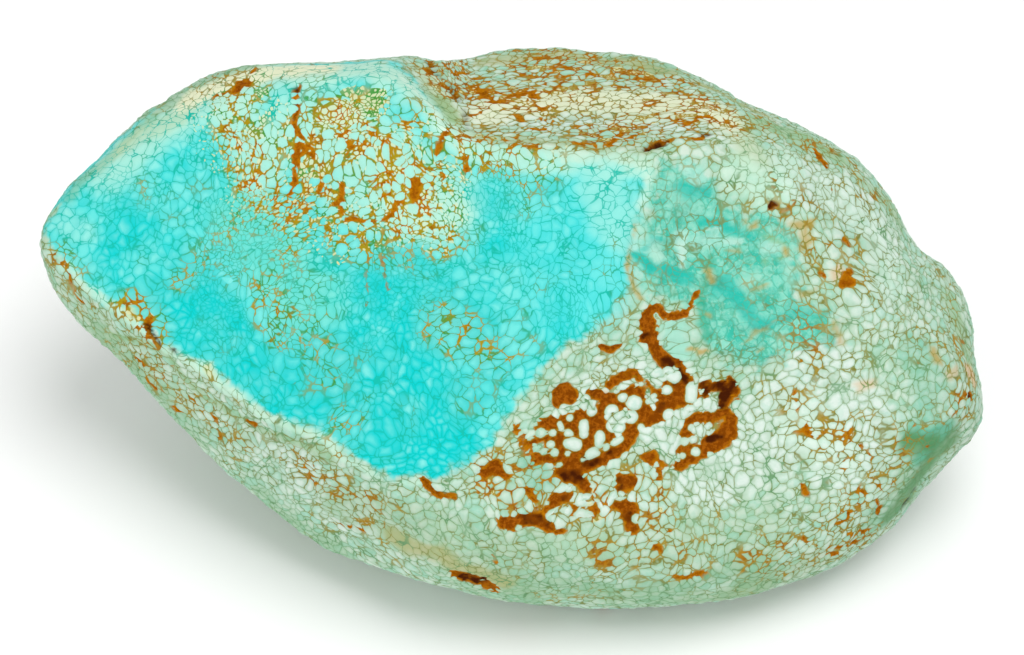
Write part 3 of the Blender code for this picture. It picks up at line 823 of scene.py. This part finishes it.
class Pattern:
    """The web of veins over the whole stone. A finer web splits some of its cells. Rust swells the veins,
    until only the pebbles stand clear of it. Depths inside a cell are in millimetres."""

    def __init__(self, sums):
        self.sums = s = sums
        self.grain = s.read("grain_mm", vector=True)
        self.read_regions()
        place = self.grain
        for per_mm, reach, detail in BENDS:
            place = s.pushed(place, per_mm, reach, detail)
        self.spread_rust(place)
        patchy = s.noise(self.grain, 0.9, 2)
        self.clump = s.times(s.rise(patchy, 0.52, 0.72), s.rise(self.gold_level, 0.4, 0.9))
        swell = s.times(s.math("POWER", s.most(s.less(self.rust, 0.2), 0), 2), RUST_ADDS)

        # the web, with bands of smaller cells
        rounding = s.add(0.07, s.times(self.gold_level, 0.14))
        rounding = s.add(rounding, s.times(self.brown, 0.5), s.times(self.net, 0.4))
        dense = s.less(s.add(self.dense, s.swing(patchy, 0.8)), 0.5)
        a_mm = s.between(s.math("GREATER_THAN", dense, 0), CELLS_A_MM, DENSE_CELLS_A_MM)
        web = Cells(s, place, a_mm, rounding)
        to_band = s.node("ShaderNodeMath", (0, dense), operation="ABSOLUTE").outputs[0]
        gap = s.math("MINIMUM", web.gap, to_band)
        width = s.rise(patchy, 0.3, 0.7, -0.01, 0.01)
        width = s.add(width, s.times(self.gold_level, GOLD_ADDS), s.times(self.clump, CLUMP_ADDS), swell)
        in_cell = s.less(gap, width)

        # the tiny web, where it splits the cells and where it fills their corners
        tiny = Cells(s, place, TINY_CELLS_A_MM, 0.3, "3D")
        split = s.add(self.tiny, s.times(s.rise(self.gold_level, 0.7, 1), 0.25), -0.02)
        self.tiny_split = s.rise(s.less(split, web.other_chance), -0.02, 0.02)
        in_tiny = s.add(s.less(tiny.gap, TINY_VEIN), s.times(s.off(self.tiny_split), 3))
        in_all = s.math("MINIMUM", in_cell, in_tiny)
        elsewhere = s.times(s.off(self.net), 0.16)
        in_grain = s.less(s.less(tiny.gap, GRAIN_VEIN), s.add(elsewhere, s.times(swell, 1.2)))
        self.grains = s.times(s.rise(s.less(in_grain, in_all), 0, 0.05), s.rise(self.net, 0, 0.2))

        # the pebbles in the rust
        pebble = s.add(self.pebbles, s.swing(s.noise(self.grain, 2.6, 1), 0.12), -0.03)
        pebble = s.between(s.rise(self.rust, 0.15, 0.4), -1, pebble)
        sound = s.between(self.sound, -1, 0.3)
        self.inside = s.most(in_all, in_grain, pebble, sound)
        self.solid = s.rise(self.inside, -0.35, -0.1, 1, 0)
        self.vein = s.rise(self.inside, EDGE_FROM, s.between(self.face, EDGE_TO, FACE_EDGE_TO), 1, 0)
        self.corner, self.chance, self.other_chance = web.corner, web.chance, web.other_chance

    def read_regions(self):
        s = self.sums
        for name in (*MARKED, "pebbles", "face_depth", "teal_depth", "top_depth", "ground", "shown"):
            setattr(self, name, s.read(name))
        ragged = s.swing(s.noise(self.grain, 1.2, 3), 1.8)
        self.face = s.rise(s.add(self.face_depth, ragged), -0.3, 0.4)
        self.teal = s.rise(s.add(self.teal_depth, s.times(ragged, 1.8)), -0.3, 0.9)
        self.top = s.rise(s.add(self.top_depth, ragged), -0.3, 0.3)
        drift = s.swing(s.noise(self.grain, 0.35, 2), 1.3)
        here = s.between(self.face, s.add(0.23, s.times(self.top, 0.3)), 0.12)
        level = s.add(here, s.times(self.gold, 0.75), drift)
        self.gold_level = s.node("ShaderNodeClamp", (0, level)).outputs[0]

    def spread_rust(self, place):
        """Frays the rust's edge, and scatters patches of it over the side that the picture doesn't show."""
        s = self.sums
        patches = s.rise(s.noise(place, 0.22, 3, 0.6), 0.56, 0.7)
        wobble = s.swing(s.noise(self.grain, 2.2, 1), 0.35)
        self.rust = s.add(self.rust, wobble, s.times(patches, s.off(self.shown), 0.8))
        self.brown = s.rise(self.rust, 0.28, 0.62)
        self.heavy = s.rise(self.rust, 0.55, 0.95)


# ---- the relief

# Heights in millimetres. The broad face, worn smooth, keeps a share of the roughness and of the grooves.
FACE_CALM = 0.35
ROUGHNESS = 0.5
VEIN, CROWN = -0.08, 0.02
RUST_SUNK, RUST_CRUMBS = -0.22, 0.2
LEDGE, FINE_LEDGE = 0.22, 0.12
CRACK_DEPTH = -0.25


def with_relief(stone):
    """Moves each point along its normal: grooves on the veins, sunk rust, ledges in the break, and cracks."""
    tree = bpy.data.node_groups.new("relief", "GeometryNodeTree")
    for end in ("INPUT", "OUTPUT"):
        tree.interface.new_socket("Geometry", in_out=end, socket_type="NodeSocketGeometry")
    s = Sums(tree)
    p = Pattern(s)
    rough = s.swing(s.noise(p.grain, 0.5, 4, 0.55), ROUGHNESS)
    groove = s.rise(p.inside, -0.05, 0.25, VEIN, CROWN)
    worn = s.times(s.add(rough, groove), s.between(p.face, 1, FACE_CALM))
    sunk = s.times(p.solid, s.add(RUST_SUNK, s.times(s.noise(p.grain, 3, 2), RUST_CRUMBS)))
    ledges = s.rise(s.noise(s.pushed(p.grain, 0.4, 1.5), 0.42, 1), 0.46, 0.52, 0, LEDGE)
    ledges = s.add(ledges, s.rise(s.noise(p.grain, 0.8, 2), 0.5, 0.56, 0, FINE_LEDGE))
    height = s.add(worn, sunk, s.times(ledges, p.teal), s.times(p.crack, CRACK_DEPTH))
    height = s.times(height, s.read("free"), MM)
    start = s.node("NodeGroupInput").outputs[0]
    offset = s.vector("SCALE", (0, s.node("GeometryNodeInputNormal").outputs[0]), ("Scale", height))
    moved = s.node("GeometryNodeSetPosition", ("Geometry", start), ("Offset", offset))
    s.node("NodeGroupOutput", (0, moved.outputs[0]))
    stone.modifiers.new("relief", "NODES").node_group = tree
    graph = bpy.context.evaluated_depsgraph_get()
    made = bpy.data.meshes.new_from_object(stone.evaluated_get(graph))
    stone.modifiers.clear()
    stone.data = made


# ---- the material

PALE_CYAN = colour(130, 230, 222)
FACE_CYAN = colour(84, 222, 216)
DEEP_CYAN = colour(0, 204, 203)
TEAL_VEIN = colour(26, 184, 164)
WHITE_SKIN = colour(219, 234, 224)
PALE_SKIN = colour(207, 226, 209)
MINT_SKIN = colour(154, 211, 187)
GREEN_SKIN = colour(136, 182, 138)
TEAL = colour(130, 215, 192)
DEEP_TEAL = colour(62, 190, 166)
OLIVE_VEIN = colour(66, 148, 62)
GREEN_VEIN = colour(106, 152, 106)
TAN_VEIN = colour(128, 130, 60)
GOLD_VEIN = colour(164, 144, 26)
TAN_GOLD = colour(162, 142, 58)
TAN_RUST = colour(166, 112, 22)
RUST_VEIN = colour(184, 116, 4)
BROWN = colour(128, 63, 0)
LIGHT_BROWN = colour(164, 90, 10)
DARK_BROWN = colour(70, 26, 2)
CRACK_BROWN = colour(60, 30, 10)

SKIN_ROUGHNESS, FACE_ROUGHNESS, RUST_ROUGHNESS = 0.62, 0.42, 0.8
SPECULAR_LEVEL = 0.03
BUMP_STRENGTH = 0.5
BUMP_DEPTH = 0.06  # millimetres


def face_colour(s, p, cloud):
    """The broad face: cyan cells with a deeper rim, deep blue in places, minty where the veins are gold."""
    deep = s.rise(s.add(p.deep, s.swing(cloud, 3)), 0.1, 1)
    halo = s.rise(p.inside, 0, s.between(deep, 0.3, 0.46))
    cell = s.mix(p.chance, FACE_CYAN, PALE_CYAN)
    cell = s.mix(s.times(deep, p.other_chance, 0.25), cell, DEEP_CYAN)
    rim = s.mix(s.between(deep, 0.65, 1), cell, DEEP_CYAN)
    minty = s.mix(halo, MINT_SKIN, PALE_CYAN)
    return s.mix(s.times(p.gold_level, 0.55), s.mix(halo, rim, cell), minty)


def skin_colour(s, p, cloud, green):
    """The worn skin: pale and minty cells with a greener rim, whitish or green in places. The green, which is
    darker, is partly painted shade.
    """
    white = s.rise(s.add(p.white, s.swing(cloud, 2)), 0.1, 1)
    frost = s.rise(s.noise(p.grain, 2, 3, 0.6), 0.42, 0.62)
    cell = s.mix(s.add(s.rise(p.chance, 0.3, 1, 0, 0.6), s.times(frost, 0.3)), PALE_SKIN, MINT_SKIN)
    cell = s.mix(s.times(white, s.off(s.times(frost, 0.35))), cell, WHITE_SKIN)
    cell = s.mix(s.times(green, 0.7), cell, GREEN_SKIN)
    return s.mix(s.rise(p.inside, 0, 0.25), s.mix(0.5, cell, GREEN_SKIN), cell)


def teal_colour(s, p, speckle):
    """The shelly break: streaks and small facets of teal, chipped and speckled."""
    streaks = s.noise(s.pushed(p.grain, 0.35, 3), 0.8, 4, 0.65)
    teal = s.mix(s.rise(streaks, 0.36, 0.54), DEEP_TEAL, TEAL)
    teal = s.mix(s.rise(streaks, 0.54, 0.7), teal, PALE_TEAL)
    rim = s.times(s.rise(p.inside, -0.05, 0.2, 0.9, 0), s.rise(p.other_chance, 0.1, 0.5))
    teal = s.mix(rim, teal, DEEP_TEAL)
    facets = s.mix(s.rise(p.chance, 0.5, 1), teal, PALE_TEAL)
    facets = s.mix(s.rise(p.chance, 0, 0.5), DEEP_TEAL, facets)
    chips = s.noise(s.pushed(p.grain, 0.9, 1.2), 2.2, 2)
    teal = s.mix(s.rise(chips, 0.54, 0.66, 0, 0.55), s.mix(0.4, teal, facets), SEA_GREEN)
    return s.mix(s.rise(speckle, 0.52, 0.66, 0, 0.5), teal, PALE_TEAL)


def brown_colour(s, p, grit, speckle):
    """Solid rust: brown, blotched light and nearly black, and more orange at its edges."""
    brown = s.mix(s.rise(speckle, 0.42, 0.64), BROWN, LIGHT_BROWN)
    brown = s.mix(s.times(s.rise(p.inside, -0.1, 0), 0.5), brown, GOLD_VEIN)
    brown = s.mix(p.heavy, s.mix(s.times(grit, 0.6), RUST_VEIN, BROWN), brown)
    dark = s.rise(s.add(p.dark, s.swing(s.noise(p.grain, 2, 3), 2)), 0.3, 1)
    return s.mix(dark, brown, DARK_BROWN)


def vein_colour(s, p, green, speckle):
    """The veins: teal, green or tan to gold, with beads of gold and rust where they meet, and solid rust."""
    gold = s.mix(p.face, TAN_GOLD, GOLD_VEIN)
    thin = s.mix(s.rise(p.gold_level, 0.05, 0.45), TEAL_VEIN, OLIVE_VEIN)
    tan = s.mix(s.rise(s.less(p.gold_level, green), -0.3, 0.3), GREEN_VEIN, TAN_VEIN)
    thin = s.mix(s.rise(p.gold_level, 0.55, 0.95), s.mix(p.face, tan, thin), gold)
    bead = s.mix(s.rise(p.gold_level, 0.15, 0.5), s.mix(p.face, GREEN_VEIN, TEAL_VEIN), gold)
    bead = s.mix(s.rise(p.gold_level, 0.6, 0.95), bead, s.mix(p.face, TAN_RUST, RUST_VEIN))
    beaded = s.rise(s.add(p.corner, s.swing(s.noise(p.grain, 1.1, 1), 2.5)), 0.2, 0.8)
    vein = s.mix(p.clump, s.mix(beaded, thin, bead), RUST_VEIN)
    grit = s.rise(s.noise(p.grain, 3.5, 3, 0.7), 0.45, 0.62)
    vein = s.mix(s.times(s.most(beaded, p.clump), s.rise(p.gold_level, 0.4, 0.8), grit, 0.6), vein, BROWN)
    return s.mix(p.brown, vein, brown_colour(s, p, grit, speckle))


def vein_strength(s, p, cloud):
    """How much of the veins shows: they fade in patches, unless they are gold or rusty."""
    fade = s.rise(s.noise(p.grain, 0.8, 2), 0.36, 0.58, s.between(p.face, 0.6, 0.8), 1)
    fade = s.most(fade, s.rise(p.gold_level, 0.3, 0.6))
    return s.most(s.between(p.teal, fade, s.rise(cloud, 0.42, 0.58, 0.3, 0.9)), p.brown)


def turquoise():
    """The stone's one material."""
    material = bpy.data.materials.new("turquoise")
    material.use_nodes = True
    tree = material.node_tree
    shader = tree.nodes["Principled BSDF"]
    s = Sums(tree)
    p = Pattern(s)
    cloud = s.noise(p.grain, 0.3, 3)
    speckle = s.noise(p.grain, 4, 3, 0.6)
    # green: the skin's green tint, partly painted shade on the sides that turn from the light
    green = s.rise(s.add(p.green, s.swing(cloud, 2)), 0.1, 1)
    ground = s.mix(p.face, skin_colour(s, p, cloud, green), face_colour(s, p, cloud))
    ground = s.mix(p.teal, ground, teal_colour(s, p, speckle))
    creamy = s.times(p.grains, s.rise(p.chance, 0, 1, 0.5, 1))
    ground = s.mix(s.most(s.times(p.tiny_split, 0.8), creamy), ground, CREAM)
    ground = s.over(ground, p.ground, s.read("wash", vector=True))
    veins = s.times(p.vein, vein_strength(s, p, cloud))
    paint = s.mix(veins, ground, vein_colour(s, p, green, speckle))
    tree.links.new(s.mix(p.crack, paint, CRACK_BROWN), shader.inputs["Base Color"])
    rough = s.between(p.face, SKIN_ROUGHNESS, FACE_ROUGHNESS)
    tree.links.new(s.between(p.brown, rough, RUST_ROUGHNESS), shader.inputs["Roughness"])
    shader.inputs["Specular IOR Level"].default_value = SPECULAR_LEVEL
    crumbs = ("Height", s.noise(p.grain, 3, 3, 0.6)), ("Distance", BUMP_DEPTH * MM)
    bump = s.node("ShaderNodeBump", ("Strength", BUMP_STRENGTH), *crumbs)
    tree.links.new(bump.outputs[0], shader.inputs["Normal"])
    return material


# ---- the scene

# The floor, and each light's place, size and power, in metres and watts, with the point that both face.
FLOOR_HALF = 3.0
FLOOR_GREY = 0.9
FLOOR_ROUGHNESS = 0.9
LIGHTS = {
    "key": ((0.15, -0.08, 0.75), 0.5, 3.3),
    "fill": ((-0.35, -0.6, 0.16), 0.5, 1.6),
}
LIT_PLACE = Vector((0, 0, 0.01))
SKY_STRENGTH = 0.68


def build_stone(node, view):
    """The stone's fine mesh, with its relief and its material."""
    points, triangles = fine_stone(node, view)
    mesh = bpy.data.meshes.new("turquoise_stone")
    mesh.from_pydata(points.tolist(), [], triangles.tolist())
    for name, values in painted(points, triangles, view).items():
        kind, field = ("FLOAT_VECTOR", "vector") if values.ndim == 2 else ("FLOAT", "value")
        mesh.attributes.new(name, kind, "POINT").data.foreach_set(field, values.astype(np.float32).ravel())
    stone = bpy.data.objects.new("turquoise_stone", mesh)
    bpy.context.scene.collection.objects.link(stone)
    with_relief(stone)
    stone.data.shade_smooth()
    stone.data.materials.clear()
    stone.data.materials.append(turquoise())
    return stone


def keep_in_box(stone, box):
    """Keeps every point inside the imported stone's box."""
    points = np.clip(points_of(stone.data), box[0], box[1])
    stone.data.vertices.foreach_set("co", points.astype(np.float32).ravel())
    stone.data.update()


def build_floor():
    material = bpy.data.materials.new("floor")
    material.use_nodes = True
    shader = material.node_tree.nodes["Principled BSDF"]
    shader.inputs["Base Color"].default_value = (FLOOR_GREY, FLOOR_GREY, FLOOR_GREY, 1.0)
    shader.inputs["Roughness"].default_value = FLOOR_ROUGHNESS
    mesh = bpy.data.meshes.new("floor")
    corners = [(FLOOR_HALF * x, FLOOR_HALF * y, 0) for x, y in ((-1, -1), (1, -1), (1, 1), (-1, 1))]
    mesh.from_pydata(corners, [], [(0, 1, 2, 3)])
    mesh.materials.append(material)
    floor = bpy.data.objects.new("floor", mesh)
    bpy.context.scene.collection.objects.link(floor)


def soft_light(name, place, size, power):
    light = bpy.data.lights.new(name, "AREA")
    light.shape = "DISK"
    light.size = size
    light.energy = power
    holder = bpy.data.objects.new(name, light)
    holder.location = place
    holder.rotation_euler = (LIT_PLACE - Vector(place)).to_track_quat("-Z", "Y").to_euler()
    bpy.context.scene.collection.objects.link(holder)


def build_studio():
    scene = bpy.context.scene
    scene.view_settings.view_transform = "Standard"
    world = bpy.data.worlds.new("studio")
    world.use_nodes = True
    sky = world.node_tree.nodes["Background"]
    sky.inputs["Color"].default_value = (1.0, 1.0, 1.0, 1.0)
    sky.inputs["Strength"].default_value = SKY_STRENGTH
    scene.world = world
    for name, looks in LIGHTS.items():
        soft_light(name, *looks)


def main():
    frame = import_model()
    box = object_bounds()
    node = frame["nodes"]["turquoise_nugget"]
    view = View(points_of(node.data))
    view.camera()
    stone = build_stone(node, view)
    keep_in_box(stone, box)
    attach(stone, "root")
    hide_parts("turquoise_nugget")
    build_floor()
    build_studio()


main()
